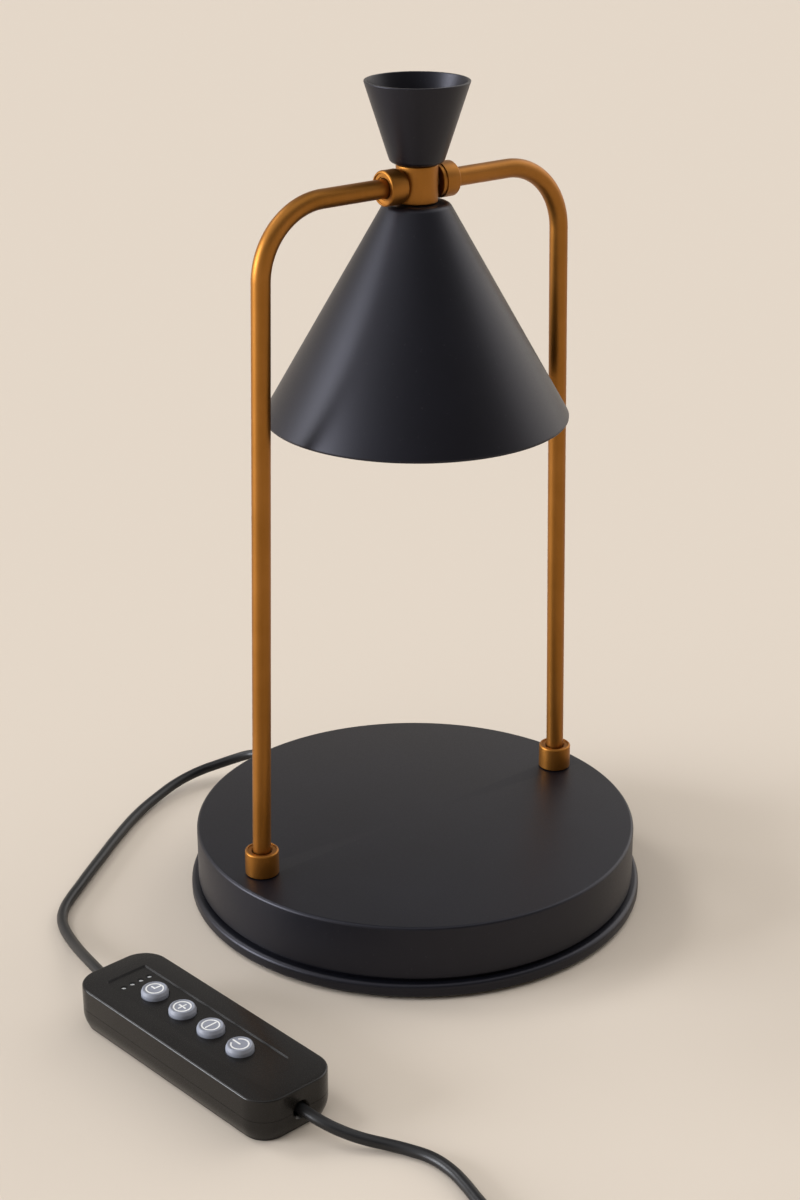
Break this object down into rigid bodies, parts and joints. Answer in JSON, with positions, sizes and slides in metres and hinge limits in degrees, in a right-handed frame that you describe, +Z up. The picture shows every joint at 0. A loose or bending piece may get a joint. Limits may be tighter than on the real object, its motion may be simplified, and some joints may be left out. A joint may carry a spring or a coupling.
{
  "type": "candle warmer lamp",
  "caption": "Candle warmer lamp: weighted round base, bent arms, tilting cone shade with a small funnel on top, and a push-button controller on its cord.",
  "frame": {"origin": "centre of the base on the surface the lamp stands on", "axes": "+Z up; the posts stand on the X axis; the cord leaves the base towards +Y; the controller lies to the -X side"},
  "size_m": [0.3356, 0.3708, 0.303],
  "materials": {
    "black_coat": "satin charcoal-black powder coat",
    "cast_iron": "rough casting",
    "copper": "satin antique copper plating",
    "steel": "zinc plated",
    "rubber": "matte black",
    "white_insulator": "white heat-proof insulator",
    "lens_glass": "clear glass",
    "reflector_glass": "mirror-coated glass",
    "case_plastic": "satin dark moulding",
    "button_rubber": "soft blue-grey rubber with a white printed icon",
    "board_green": "circuit board",
    "clear_plastic": "translucent white",
    "cord_jacket": "satin black jacket",
    "wire_jacket": "heat-proof sleeve"
  },
  "bodies": {
    "stand": {"base_pan": "black_coat", "base_cover": "black_coat", "counterweight": "cast_iron", "rubber_foot_1": "rubber", "rubber_foot_2": "rubber", "rubber_foot_3": "rubber", "rubber_foot_4": "rubber", "base_screw_1": "steel", "base_screw_2": "steel", "base_screw_3": "steel", "base_screw_4": "steel", "terminal_block": "white_insulator", "cord_clamp": "clear_plastic", "base_strain_relief": "rubber", "left_arm_tube": "copper", "right_arm_tube": "copper", "left_ferrule": "copper", "right_ferrule": "copper", "left_arm_nut": "steel", "right_arm_nut": "steel", "left_collar": "copper", "right_collar": "copper", "left_friction_washer": "steel", "right_friction_washer": "steel", "lamp_wire": "wire_jacket", "base_cord": "cord_jacket", "inner_cord": "cord_jacket", "controller_upper_shell": "case_plastic", "controller_lower_shell": "case_plastic", "control_board": "board_green", "led_light_guide": "clear_plastic", "controller_screw_1": "steel", "controller_screw_2": "steel", "plug_cord": "cord_jacket", "cord_coil": "cord_jacket", "coil_tie": "rubber", "coil_end_cord": "cord_jacket", "plug_strain_relief": "rubber", "plug_body": "rubber", "plug_blade_a": "steel", "plug_blade_b": "steel"},
    "head": {"hub": "copper", "left_pivot_pin": "steel", "right_pivot_pin": "steel", "funnel": "black_coat", "funnel_screw": "steel", "shade": "black_coat", "nipple": "steel", "shade_lock_nut": "steel", "lampholder_cap": "steel", "lampholder": "white_insulator", "bulb_reflector": "reflector_glass", "bulb_lens": "lens_glass", "bulb_capsule": "lens_glass", "bulb_pin_a": "steel", "bulb_pin_b": "steel"},
    "timer_key": {"timer_button": "button_rubber"},
    "plus_key": {"plus_button": "button_rubber"},
    "minus_key": {"minus_button": "button_rubber"},
    "power_key": {"power_button": "button_rubber"}
  },
  "joints": [
    {"name": "head_tilt", "type": "hinge", "parent": "stand", "child": "head", "pos_m": [0, 0, 0.2685], "axis": [1, 0, 0], "range_deg": [-30, 30]},
    {"name": "timer_press", "type": "slide", "parent": "stand", "child": "timer_key", "axis": [0, 0, -1], "range_m": [0, 0.001], "stiffness_N_per_m": 1500, "springref_m": -0.0003},
    {"name": "plus_press", "type": "slide", "parent": "stand", "child": "plus_key", "axis": [0, 0, -1], "range_m": [0, 0.001], "stiffness_N_per_m": 1500, "springref_m": -0.0003},
    {"name": "minus_press", "type": "slide", "parent": "stand", "child": "minus_key", "axis": [0, 0, -1], "range_m": [0, 0.001], "stiffness_N_per_m": 1500, "springref_m": -0.0003},
    {"name": "power_press", "type": "slide", "parent": "stand", "child": "power_key", "axis": [0, 0, -1], "range_m": [0, 0.001], "stiffness_N_per_m": 1500, "springref_m": -0.0003}
  ]
}
